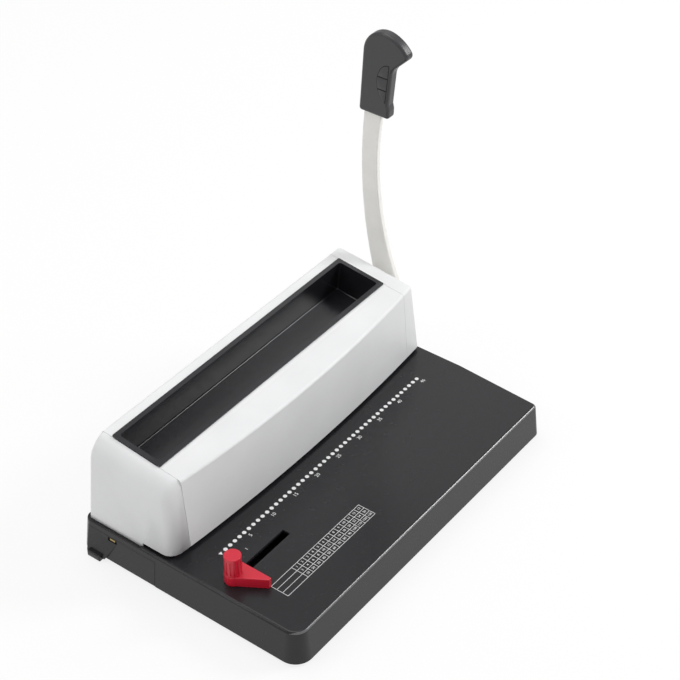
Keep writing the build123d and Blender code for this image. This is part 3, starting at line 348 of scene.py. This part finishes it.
class Finish(Enum):
    """Every finish of the machine."""

    CASING = MouldedPlastic("casing_plastic", (0.78, 0.785, 0.79), roughness=0.42)
    BASE = MouldedPlastic(
        "charcoal_plastic",
        (0.016, 0.016, 0.018),
        roughness=0.26,
        grain=0.5 * MM,
        relief=0.003 * MM,
        sheen=0.33,
    )
    # Lighter than BASE: a painted highlight along the base's front edge, with a real higher sheen and finer grain.
    EDGE = MouldedPlastic(
        "charcoal_edge_painted_highlight",
        (0.1, 0.1, 0.105),
        roughness=0.29,
        grain=0.5 * MM,
        relief=0.0005 * MM,
        sheen=1.0,
    )
    TRAY = MouldedPlastic(
        "tray_plastic",
        (0.015, 0.015, 0.018),
        roughness=0.22,
        grain=0.5 * MM,
        relief=0.003 * MM,
        mottle=0.06,
    )
    GRIP = MouldedPlastic(
        "grip_plastic",
        (0.04, 0.04, 0.043),
        roughness=0.34,
        grain=0.5 * MM,
        relief=0.008 * MM,
        mottle=0.05,
    )
    RED = MouldedPlastic(
        "red_plastic", (0.6, 0.012, 0.035), roughness=0.3, grain=0.8 * MM, relief=0.008 * MM
    )
    RUBBER = MouldedPlastic(
        "rubber",
        (0.02, 0.02, 0.02),
        roughness=0.75,
        grain=0.6 * MM,
        relief=0.03 * MM,
        mottle=0.1,
        sheen=0.2,
    )
    ARM = PowderCoat("arm_paint", (0.9, 0.89, 0.85), roughness=0.38)
    STEEL = BareMetal("steel", (0.55, 0.55, 0.56), roughness=0.32)
    SHEET = BareMetal("zinc_sheet", (0.5, 0.51, 0.52), roughness=0.4, stretch=(1.0, 0.05, 1.0))
    BRASS = BareMetal("brass", (0.5, 0.38, 0.17), roughness=0.38)
    INK = PrintedInk("white_ink", (0.86, 0.86, 0.86))


class Paintbox:
    """Makes each finish's material once."""

    def __init__(self) -> None:
        """Start with no material made."""
        self.made: dict[Finish, bpy.types.Material] = {}

    def get(self, finish: Finish) -> bpy.types.Material:
        """Hand out the material of a finish.

        Args:
            finish: The finish.

        Returns:
            Its material, made at the first call.
        """
        if finish not in self.made:
            self.made[finish] = finish.value.material()
        return self.made[finish]


@dataclass
class Workshop:
    """Turns meshes into pieces that ride on the machine's bodies.

    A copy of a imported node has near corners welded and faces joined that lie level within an
    angle, and keeps its edges sharp past another, both in degrees. A face looks forward where
    that share of its normal does.
    """

    paint: Paintbox
    weld: float = 0.002 * MM
    level_within: float = 0.2
    copy_sharp: float = 30.0
    forward: float = 0.3

    def __post_init__(self) -> None:
        """Find the slots that the record names."""
        self.slots = {entry["slot"] for entry in frame["record"]["materials"]}

    def piece(
        self, name: str, mesh: bmesh.types.BMesh, body: str, finish: Finish, sharp: float = 35.0
    ) -> bpy.types.Object:
        """Make a piece from a mesh.

        Args:
            name: The piece's name.
            mesh: Its shape, in place, in metres. It is freed.
            body: The body that it rides on.
            finish: Its finish.
            sharp: The angle, in degrees, past which an edge stays sharp.

        Returns:
            The piece.
        """
        made = stand(name, mesh)
        data = made.data
        data.shade_smooth()
        data.set_sharp_from_angle(angle=math.radians(sharp))
        data.materials.append(self.paint.get(finish))
        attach(made, body)
        log.info("piece %s on %s: %d faces", name, body, len(data.polygons))
        return made

    def smooth_copy(self, node: str, body: str, finish: Finish) -> bpy.types.Object:
        """Stand a welded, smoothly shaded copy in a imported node's place.

        Args:
            node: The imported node.
            body: The body that it rides on.
            finish: Its finish.

        Returns:
            The copy.
        """
        mesh = bmesh.new()
        mesh.from_mesh(frame["nodes"][node].data)
        bmesh.ops.remove_doubles(mesh, verts=mesh.verts, dist=self.weld)
        bmesh.ops.dissolve_limit(
            mesh, angle_limit=math.radians(self.level_within), verts=mesh.verts, edges=mesh.edges
        )
        made = self.piece(node + "_shell", mesh, body, finish, self.copy_sharp)
        weights = made.modifiers.new("face_weights", "WEIGHTED_NORMAL")
        weights.keep_sharp = True
        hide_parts(node)
        return made

    def polish(self, made: bpy.types.Object, finish: Finish, low: float, high: float) -> None:
        """Give the forward faces that lean between two angles from level a second finish, which paints a highlight
        band there.

        Args:
            made: The piece.
            finish: The second finish, lighter and glossier than the first: its lighter colour is a painted
                highlight.
            low: The least lean, in degrees.
            high: The greatest lean, in degrees.
        """
        made.data.materials.append(self.paint.get(finish))
        steep, flat = math.cos(math.radians(high)), math.cos(math.radians(low))
        for face in made.data.polygons:
            if steep < face.normal.z < flat and face.normal.y < -self.forward:
                face.material_index = 1

    def dress(self, finish: Finish, *nodes: str) -> None:
        """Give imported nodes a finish.

        Args:
            finish: The finish.
            nodes: The nodes' names.
        """
        for name in nodes:
            data = frame["nodes"][name].data
            data.materials.clear()
            data.materials.append(self.paint.get(finish))
            log.info("node %s: %s", name, finish.name)


@dataclass(frozen=True)
class Softbox:
    """A square lamp that faces the machine: its place and side in metres, its power in watts."""

    name: str
    place: Place
    size: float
    power: float

    def hang(self) -> None:
        """Hang the lamp and turn it to the machine."""
        data = bpy.data.lights.new(self.name, "AREA")
        data.size = self.size
        data.energy = self.power
        made = bpy.data.objects.new(self.name, data)
        made.location = self.place
        made.rotation_euler = (-Vector(self.place)).to_track_quat("-Z", "Y").to_euler()
        bpy.context.scene.collection.objects.link(made)


@dataclass
class Studio:
    """The floor, the lamps and the camera."""

    focal_pixels: float = 1814.0
    image_pixels: float = 680.0
    sensor: float = 36.0
    camera_place: Vector = field(default_factory=lambda: Vector((-0.96715, -0.7491, 1.1486)))
    camera_right: Vector = field(default_factory=lambda: Vector((0.6008, -0.7994, 0.0)))
    camera_up: Vector = field(default_factory=lambda: Vector((0.4986, 0.3747, 0.7817)))
    floor_half: float = 4.0
    floor_glow: float = 0.8
    floor_tone: float = 0.9
    floor_roughness: float = 0.9
    floor_sheen: float = 0.1
    room_light: float = 0.57
    lamps: tuple[Softbox, ...] = (
        Softbox("key_softbox", (1.5, -1.25, 1.42), size=0.7, power=22.5),
        Softbox("overhead_softbox", (0.1, 0.6, 2.3), size=1.4, power=16.0),
        Softbox("left_softbox", (-1.5, 1.1, 1.45), size=0.6, power=4.0),
        Softbox("rear_softbox", (1.75, 0.85, 1.55), size=0.9, power=1.6),
    )

    def camera(self) -> None:
        """Place the camera at the photograph's angle."""
        data = bpy.data.cameras.new("camera")
        data.sensor_width = self.sensor
        data.lens = self.focal_pixels / self.image_pixels * self.sensor
        made = bpy.data.objects.new("camera", data)
        bpy.context.scene.collection.objects.link(made)
        right = self.camera_right.normalized()
        up = self.camera_up.normalized()
        turned = Matrix((right, up, right.cross(up))).transposed().to_4x4()
        made.matrix_world = Matrix.Translation(self.camera_place) @ turned
        bpy.context.scene.camera = made

    def floor(self) -> None:
        """Lay a plain pale floor that keeps the machine's shadow."""
        mesh = bmesh.new()
        bmesh.ops.create_grid(mesh, x_segments=1, y_segments=1, size=self.floor_half)
        made = stand("floor", mesh)
        sheet = NodeSheet("floor_paper")
        tone = self.floor_tone
        sheet.shader.inputs["Base Color"].default_value = (tone, tone, tone, 1.0)
        sheet.shader.inputs["Roughness"].default_value = self.floor_roughness
        sheet.shader.inputs["Specular IOR Level"].default_value = self.floor_sheen
        glow = sheet.add("Emission", Strength=1.0)
        rays = sheet.add("LightPath")
        seen = sheet.tree.nodes.new("ShaderNodeMath")
        seen.operation = "MAXIMUM"
        share = sheet.tree.nodes.new("ShaderNodeMath")
        share.operation = "MULTIPLY"
        share.inputs[1].default_value = self.floor_glow
        mix = sheet.add("MixShader")
        output = sheet.tree.nodes["Material Output"]
        sheet.join(rays.outputs["Is Camera Ray"], seen.inputs[0])
        sheet.join(rays.outputs["Is Glossy Ray"], seen.inputs[1])
        sheet.join(seen.outputs[0], share.inputs[0])
        sheet.join(share.outputs[0], mix.inputs["Fac"])
        sheet.join(sheet.shader.outputs["BSDF"], mix.inputs[1])
        sheet.join(glow.outputs["Emission"], mix.inputs[2])
        sheet.join(mix.outputs["Shader"], output.inputs["Surface"])
        made.data.materials.append(sheet.material)

    def world(self) -> None:
        """Light the room evenly, and show it white behind the floor."""
        world = bpy.data.worlds.new("room")
        world.use_nodes = True
        air = world.node_tree.nodes["Background"]
        air.inputs["Color"].default_value = (1.0, 1.0, 1.0, 1.0)
        air.inputs["Strength"].default_value = self.room_light
        bpy.context.scene.world = world

    def build(self) -> None:
        """Set up the whole studio."""
        self.camera()
        self.floor()
        self.world()
        for softbox in self.lamps:
            softbox.hang()
        bpy.context.scene.view_settings.view_transform = "Standard"
        log.info("studio ready")


@dataclass
class BasePrint:
    """The white print on the base: a mark for each hole, their numbers and a table."""

    shop: Workshop
    count: int = 46
    pitch: float = 6.35 * MM
    mark_radius: float = 1.95 * MM
    mark_segments: int = 28
    thickness: float = 0.06 * MM
    row_line: float = -6.5 * MM
    number_line: float = -12.9 * MM
    number_shift: float = 1.0 * MM
    number_height: float = 3.6 * MM
    number_step: int = 5
    figure_share: float = 0.7
    figure_resolution: int = 3
    table_left: float = -153.5 * MM
    table_right: float = -30.2 * MM
    table_rear: float = -65.2 * MM
    table_front: float = -83.4 * MM
    table_head: float = 27.5 * MM
    table_cells: int = 13
    table_factors: tuple[int, ...] = (1, 2, 10)
    line_width: float = 0.4 * MM
    cell_figure: float = 2.3 * MM
    pointer_size: float = 2.2 * MM
    pointer_sides: int = 3
    tick_place: tuple[float, float] = (-131.6 * MM, -20.5 * MM)
    tick_length: float = 3.0 * MM

    def __post_init__(self) -> None:
        """Find the middle of the row, and the ink's middle height: it sinks a little into the base."""
        self.middle = machine_middle()
        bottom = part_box("base_cover")[1].z - self.thickness / 4
        self.height = bottom + self.thickness / 2

    def mark_x(self, index: int) -> float:
        """The place along the row of a mark, counted from 1."""
        return self.middle + (index - (self.count + 1) / 2) * self.pitch

    def marks(self) -> None:
        """Print one round mark for each hole."""
        mesh = bmesh.new()
        for index in range(1, self.count + 1):
            place = Matrix.Translation((self.mark_x(index), self.row_line, self.height))
            prism(mesh, self.mark_segments, self.mark_radius, self.thickness, place)
        self.shop.piece("hole_marks", mesh, "chassis", Finish.INK)

    def number(self, text: str, x: float, y: float, height: float) -> bpy.types.Mesh:
        """Set one number in the base's plane.

        Args:
            text: The number.
            x: Its middle.
            y: Its middle.
            height: The height of its figures.

        Returns:
            Its mesh, in place.
        """
        curve = bpy.data.curves.new("number", "FONT")
        curve.body = text
        curve.align_x = "CENTER"
        curve.align_y = "CENTER"
        curve.size = height / self.figure_share
        curve.extrude = self.thickness / 2
        curve.resolution_u = self.figure_resolution
        holder = bpy.data.objects.new("number", curve)
        data = bpy.data.meshes.new_from_object(holder)
        bpy.data.objects.remove(holder)
        data.transform(Matrix.Translation((x, y, self.height)))
        return data

    def numbers(self) -> None:
        """Print the number of every fifth mark, but the last mark's in place of the nearest one."""
        mesh = bmesh.new()
        step = self.number_step
        for index in [*range(step, self.count - step, step), self.count]:
            x = self.mark_x(index) + self.number_shift
            mesh.from_mesh(self.number(str(index), x, self.number_line, self.number_height))
        self.shop.piece("hole_numbers", mesh, "chassis", Finish.INK)

    def bar(self, mesh: bmesh.types.BMesh, low: tuple[float, float], high: tuple[float, float]) -> None:
        """Print a straight bar along X or Y.

        Args:
            mesh: The mesh that takes it.
            low: Its first corner.
            high: Its opposite corner.
        """
        place = Vector(((low[0] + high[0]) / 2, (low[1] + high[1]) / 2, self.height))
        scale = Matrix.Diagonal((high[0] - low[0], high[1] - low[1], self.thickness, 1.0))
        bmesh.ops.create_cube(mesh, size=1.0, matrix=Matrix.Translation(place) @ scale)

    def table(self) -> None:
        """Print the ruled table with plain numbers in its cells."""
        mesh = bmesh.new()
        left, right = self.middle + self.table_left, self.middle + self.table_right
        half = self.line_width / 2
        row = (self.table_rear - self.table_front) / len(self.table_factors)
        for index in range(len(self.table_factors) + 1):
            y = self.table_front + row * index
            self.bar(mesh, (left - half, y - half), (right + half, y + half))
        cell = (right - left - self.table_head) / self.table_cells
        columns = [left, *(left + self.table_head + cell * index for index in range(self.table_cells + 1))]
        for x in columns:
            self.bar(mesh, (x - half, self.table_front), (x + half, self.table_rear))
        for line, factor in enumerate(self.table_factors):
            y = self.table_rear - row * (line + 0.5)
            for index in range(self.table_cells):
                x = left + self.table_head + cell * (index + 0.5)
                mesh.from_mesh(self.number(str((index + 1) * factor), x, y, self.cell_figure))
        self.shop.piece("printed_table", mesh, "chassis", Finish.INK)

    def pointers(self) -> None:
        """Print the small pointer before the first mark, and the tick beside the guide's slot."""
        mesh = bmesh.new()
        turned = Matrix.Rotation(math.radians(180.0), 4, "Z")
        place = Matrix.Translation((self.mark_x(0), self.row_line, self.height)) @ turned
        prism(mesh, self.pointer_sides, self.pointer_size, self.thickness, place)
        x, y = self.middle + self.tick_place[0], self.tick_place[1]
        half = self.line_width / 2
        self.bar(mesh, (x - half, y - self.tick_length / 2), (x + half, y + self.tick_length / 2))
        self.shop.piece("pointer_marks", mesh, "chassis", Finish.INK)

    def build(self) -> None:
        """Print everything."""
        self.marks()
        self.numbers()
        self.table()
        self.pointers()


@dataclass
class LeftCap:
    """The left end cap, whose top blend runs softly into its front corner.

    Lengths are in millimetres, along X from the machine's middle, and angles in degrees. A face
    is square on to an axis, or turned from it, by the share of its normal along that axis.
    """

    shop: Workshop
    half: float = 182.7
    seam: float = 160.75
    block_end: float = 140.0
    base_top: float = 37.0
    skirt_low: float = 35.8
    throat_top: float = 40.4
    throat_rear: float = 53.0
    front: float = 10.6
    lean: float = 4.0
    bow_low: float = 6.2
    bow_high: float = 8.7
    bow_height: float = 75.0
    bow_half: float = 160.6
    rear: float = 116.0
    rear_draft: float = 3.0
    side_draft: float = 4.0
    roof_line: float = 46.5
    roof_height: float = 115.7
    slope: float = 6.81
    blend: float = 20.5
    blend_steps: int = 14
    corner: float = 12.0
    rear_corner: float = 4.0
    crease: float = 3.2
    wall: float = 2.2
    boss_radius: float = 4.0
    boss_segments: int = 32
    boss_places: tuple[tuple[float, float], ...] = ((80.0, 98.7), (88.0, 49.5))
    frame_outer: float = 166.1
    corner_steps: int = 8
    square_on: float = 0.9
    turned: float = 0.5
    sharp: float = 40.0
    settling: int = 4

    def front_at(self, height: float, x: float) -> float:
        """Find the depth of the bowed front.

        Args:
            height: The height over the floor.
            x: The distance from the machine's middle.

        Returns:
            The depth, which grows to the rear.
        """
        share = (height - self.base_top) / self.bow_height
        bow = self.bow_low + (self.bow_high - self.bow_low) * share
        return self.front + self.lean * share + bow * (x / self.bow_half) ** 2

    def half_at(self, height: float) -> float:
        """Half length of the casing at a height."""
        return self.half - (height - self.base_top) * math.tan(math.radians(self.side_draft))

    def rear_at(self, height: float) -> float:
        """Depth of the rear face at a height."""
        return self.rear - (height - self.base_top) * math.tan(math.radians(self.rear_draft))

    def roof_at(self, depth: float) -> float:
        """Height of the sloping roof at a depth."""
        return self.roof_height + (depth - self.roof_line) * math.tan(math.radians(self.slope))

    def block(self) -> bmesh.types.BMesh:
        """Shape a cube into the cap's drafted block under the sloping roof.

        A corner's depth and height depend on each other, so they settle in a few rounds.

        Returns:
            The block, in millimetres from the machine's middle.
        """
        mesh = bmesh.new()
        bmesh.ops.create_cube(mesh, size=2.0)
        for vert in mesh.verts:
            left, near, low = vert.co.x < 0, vert.co.y < 0, vert.co.z < 0
            depth = self.front if near else self.rear
            for _ in range(self.settling):
                height = self.skirt_low if low else self.roof_at(depth)
                x = self.half_at(height) if left else self.block_end
                depth = self.front_at(height, x) if near else self.rear_at(height)
            vert.co = (-x, depth, height)
        return mesh

    def soften(self, mesh: bmesh.types.BMesh) -> None:
        """Blend the long top edge, then weigh the edges round the front and the rear faces.

        The weight grows from the crease's to the corner's as the edge's other face turns to the left.

        Args:
            mesh: The block.
        """
        top_left = [
            edge for edge in mesh.edges
            if all(v.co.x < -self.seam and v.co.z > self.base_top for v in edge.verts)
        ]
        bmesh.ops.bevel(
            mesh,
            geom=top_left,
            offset=self.blend,
            offset_type="OFFSET",
            segments=self.blend_steps,
            profile=ROUND_PROFILE,
            affect="EDGES",
            material=-1,
        )
        square_on = self.square_on
        bmesh.ops.delete(
            mesh,
            geom=[face for face in mesh.faces if face.normal.z < -square_on or face.normal.x > square_on],
            context="FACES",
        )
        weight = mesh.edges.layers.float.new("bevel_weight_edge")
        for edge in mesh.edges:
            if len(edge.link_faces) < 2:
                continue
            facing = [face.normal.y for face in edge.link_faces]
            other = min(edge.link_faces, key=lambda face: abs(face.normal.y))
            share = max(0.0, min(1.0, -other.normal.x))
            if min(facing) < -square_on and max(facing) > -self.turned:
                edge[weight] = (self.crease + (self.corner - self.crease) * share) / self.corner
            elif max(facing) > square_on and min(facing) < self.turned:
                edge[weight] = (self.crease + (self.rear_corner - self.crease) * share) / self.corner

    def rounded(self, mesh: bmesh.types.BMesh) -> bmesh.types.BMesh:
        """Round the weighed edges, each by its own share of the corner's radius.

        Args:
            mesh: The block. It is freed.

        Returns:
            The rounded block.
        """
        block = stand("left_cap_block", mesh)
        rounding = block.modifiers.new("rounding", "BEVEL")
        rounding.limit_method = "WEIGHT"
        rounding.width = self.corner
        rounding.segments = self.corner_steps
        rounding.profile = ROUND_PROFILE
        rounding.use_clamp_overlap = False
        shaped = bmesh.new()
        shaped.from_object(block, bpy.context.evaluated_depsgraph_get())
        bpy.data.objects.remove(block)
        return shaped

    def trim(self, mesh: bmesh.types.BMesh) -> None:
        """Cut the cap off at its seam and open the paper throat under its front part.

        Args:
            mesh: The rounded block.
        """
        cut(mesh, (-self.seam, 0.0, 0.0), (1.0, 0.0, 0.0))
        cut(mesh, (0.0, self.throat_rear, 0.0), (0.0, 1.0, 0.0), drop=False)
        cut(mesh, (0.0, 0.0, self.throat_top), (0.0, 0.0, 1.0), drop=False)
        low = [
            face for face in mesh.faces
            if face.calc_center_median().z < self.throat_top
            and face.calc_center_median().y < self.throat_rear
        ]
        bmesh.ops.delete(mesh, geom=low, context="FACES")

    def bosses(self, middle: float) -> None:
        """Add the two screw bosses behind the cap's wall.

        Args:
            middle: The machine's middle along X, in metres.
        """
        mesh = bmesh.new()
        along_x = Matrix.Rotation(math.radians(90.0), 4, "Y")
        for depth, height in self.boss_places:
            wall_x = self.half_at(height) - self.wall / 2
            length = (wall_x - self.frame_outer) * MM
            x = middle - (wall_x + self.frame_outer) / 2 * MM
            place = Matrix.Translation((x, depth * MM, height * MM))
            prism(mesh, self.boss_segments, self.boss_radius * MM, length, place @ along_x)
        self.shop.piece("left_cap_bosses", mesh, "chassis", Finish.CASING)

    def build(self) -> None:
        """Make the cap in its node's place."""
        middle = machine_middle()
        mesh = self.block()
        self.soften(mesh)
        bmesh.ops.recalc_face_normals(mesh, faces=mesh.faces)
        shaped = self.rounded(mesh)
        self.trim(shaped)
        in_place = Matrix.Translation((middle, 0, 0)) @ Matrix.Scale(MM, 4)
        bmesh.ops.transform(shaped, matrix=in_place, verts=shaped.verts)
        made = self.shop.piece("left_end_cap_shell", shaped, "chassis", Finish.CASING, self.sharp)
        shell = made.modifiers.new("wall", "SOLIDIFY")
        shell.thickness = self.wall * MM
        shell.offset = -1.0
        shell.use_even_offset = True
        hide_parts("left_end_cap")
        self.bosses(middle)


@dataclass
class GripPads:
    """Three pads let into the grip's near side, over a darker bed that shows in the joints round them as painted
    groove shade.

    Lengths are in millimetres from the shaft, and the front's lean is in degrees.
    """

    shop: Workshop
    centre: tuple[float, float] = (12.5, 246.0)
    reach: tuple[float, float] = (12.6, 20.2)
    front: float = 13.4
    front_lean: float = 5.8
    joints: tuple[float, ...] = (225.0, 239.5, 252.3, 268.0)
    joint_width: float = 1.1
    rise: float = 0.4
    bed_rise: float = 0.05
    edge: float = 0.22
    edge_steps: int = 2
    oval_segments: int = 64

    def pad(self, place: Vector, low: float, high: float, shrink: float, rise: float) -> bmesh.types.BMesh:
        """Cut one pad out of the oval.

        Args:
            place: The shaft's centre on the grip's near side, in metres.
            low: The pad's lower limit.
            high: Its upper limit.
            shrink: How far it stays inside the oval.
            rise: Its height over the grip.

        Returns:
            The pad, in place, in metres.
        """
        mesh = bmesh.new()
        bmesh.ops.create_circle(mesh, cap_ends=True, segments=self.oval_segments, radius=1.0)
        for vert in mesh.verts:
            vert.co = (
                0.0,
                self.centre[0] + vert.co.x * (self.reach[0] - shrink),
                self.centre[1] + vert.co.y * (self.reach[1] - shrink),
            )
        lean = math.radians(self.front_lean)
        forward = (0.0, -math.cos(lean), -math.sin(lean))
        cut(mesh, (0.0, 0.0, low + shrink), (0.0, 0.0, -1.0))
        cut(mesh, (0.0, 0.0, high - shrink), (0.0, 0.0, 1.0))
        cut(mesh, (0.0, self.front + shrink, self.centre[1]), forward)
        grown = bmesh.ops.extrude_face_region(mesh, geom=mesh.faces[:])
        raised = [item for item in grown["geom"] if isinstance(item, bmesh.types.BMVert)]
        bmesh.ops.translate(mesh, verts=raised, vec=(-rise, 0.0, 0.0))
        if rise > self.edge:
            rim = [
                edge for edge in mesh.edges
                if all(vert.co.x < -rise / 2 for vert in edge.verts)
            ]
            bmesh.ops.bevel(
                mesh,
                geom=rim,
                offset=self.edge,
                segments=self.edge_steps,
                profile=ROUND_PROFILE,
                affect="EDGES",
                material=-1,
            )
        bmesh.ops.recalc_face_normals(mesh, faces=mesh.faces)
        bmesh.ops.transform(
            mesh, matrix=Matrix.Translation(place) @ Matrix.Scale(MM, 4), verts=mesh.verts
        )
        return mesh

    def build(self) -> None:
        """Make the dark bed that paints the shade of the joints' grooves, and the pads."""
        shaft = next(joint for joint in frame["joints"] if joint["name"] == "handle_turn")["pos_m"]
        place = Vector((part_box("handle_grip")[0].x, shaft[1], shaft[2]))
        # A darker sheet under the pads: painted shade in the joints, where the grip has grooves.
        bed = self.pad(place, self.joints[0], self.joints[-1], 0.0, self.bed_rise)
        self.shop.piece("grip_painted_groove_shade", bed, "lever", Finish.RUBBER)
        pads = bmesh.new()
        for low, high in zip(self.joints, self.joints[1:]):
            piece = self.pad(place, low, high, self.joint_width / 2, self.rise)
            holder = bpy.data.meshes.new("pad")
            piece.to_mesh(holder)
            piece.free()
            pads.from_mesh(holder)
            bpy.data.meshes.remove(holder)
        self.shop.piece("grip_pads", pads, "lever", Finish.GRIP)


@dataclass
class Machine:
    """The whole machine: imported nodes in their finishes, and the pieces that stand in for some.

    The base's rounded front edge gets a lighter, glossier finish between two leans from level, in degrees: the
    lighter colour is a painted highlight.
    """

    shop: Workshop
    press_stroke: float = 8.0 * MM
    polished_lean: tuple[float, float] = (24.0, 64.0)

    def spring(self, node: str) -> None:
        """Stand a welded steel copy in a return spring's place, with a mesh of its own.

        Args:
            node: The spring's node.
        """
        made = self.shop.smooth_copy(node, "chassis", Finish.STEEL)
        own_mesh(made)

    def build(self) -> None:
        """Smooth the large mouldings, and dress every node. Those not named are of steel."""
        shop = self.shop
        base = shop.smooth_copy("base_cover", "chassis", Finish.BASE)
        # The base's front edge fillet gets the lighter edge finish, a painted highlight.
        shop.polish(base, Finish.EDGE, *self.polished_lean)
        for node in ("front_cover", "rear_cover", "right_end_cap"):
            shop.smooth_copy(node, "chassis", Finish.CASING)
        LeftCap(shop).build()
        shop.smooth_copy("coil_tray", "chassis", Finish.TRAY)
        shop.smooth_copy("handle_arm", "lever", Finish.ARM)
        shop.smooth_copy("handle_grip", "lever", Finish.GRIP)
        GripPads(shop).build()
        shop.smooth_copy("side_guide", "guide", Finish.RED)
        shop.smooth_copy("guide_knob", "knob", Finish.RED)
        shop.smooth_copy("waste_drawer", "drawer", Finish.BASE)
        self.spring("left_return_spring")
        self.spring("right_return_spring")
        named = {
            Finish.RUBBER: ("rubber_feet",),
            Finish.BRASS: ("drawer_catch", "knob_insert", "left_shaft_bush", "right_shaft_bush"),
            Finish.SHEET: ("bottom_plate", "drawer_rails", "left_side_frame", "right_side_frame"),
        }
        for finish, nodes in named.items():
            shop.dress(finish, *nodes)
        done = {name for nodes in named.values() for name in nodes}
        done |= {name for name, node in frame["nodes"].items() if node.hide_render}
        shop.dress(Finish.STEEL, *sorted(set(frame["nodes"]) - done))


def main() -> None:
    """Build the machine and the studio in order."""
    logging.basicConfig(level=logging.INFO, format="%(message)s")
    shop = Workshop(Paintbox())
    Studio().build()
    Machine(shop).build()
    BasePrint(shop).build()


if __name__ == "__main__":
    main()
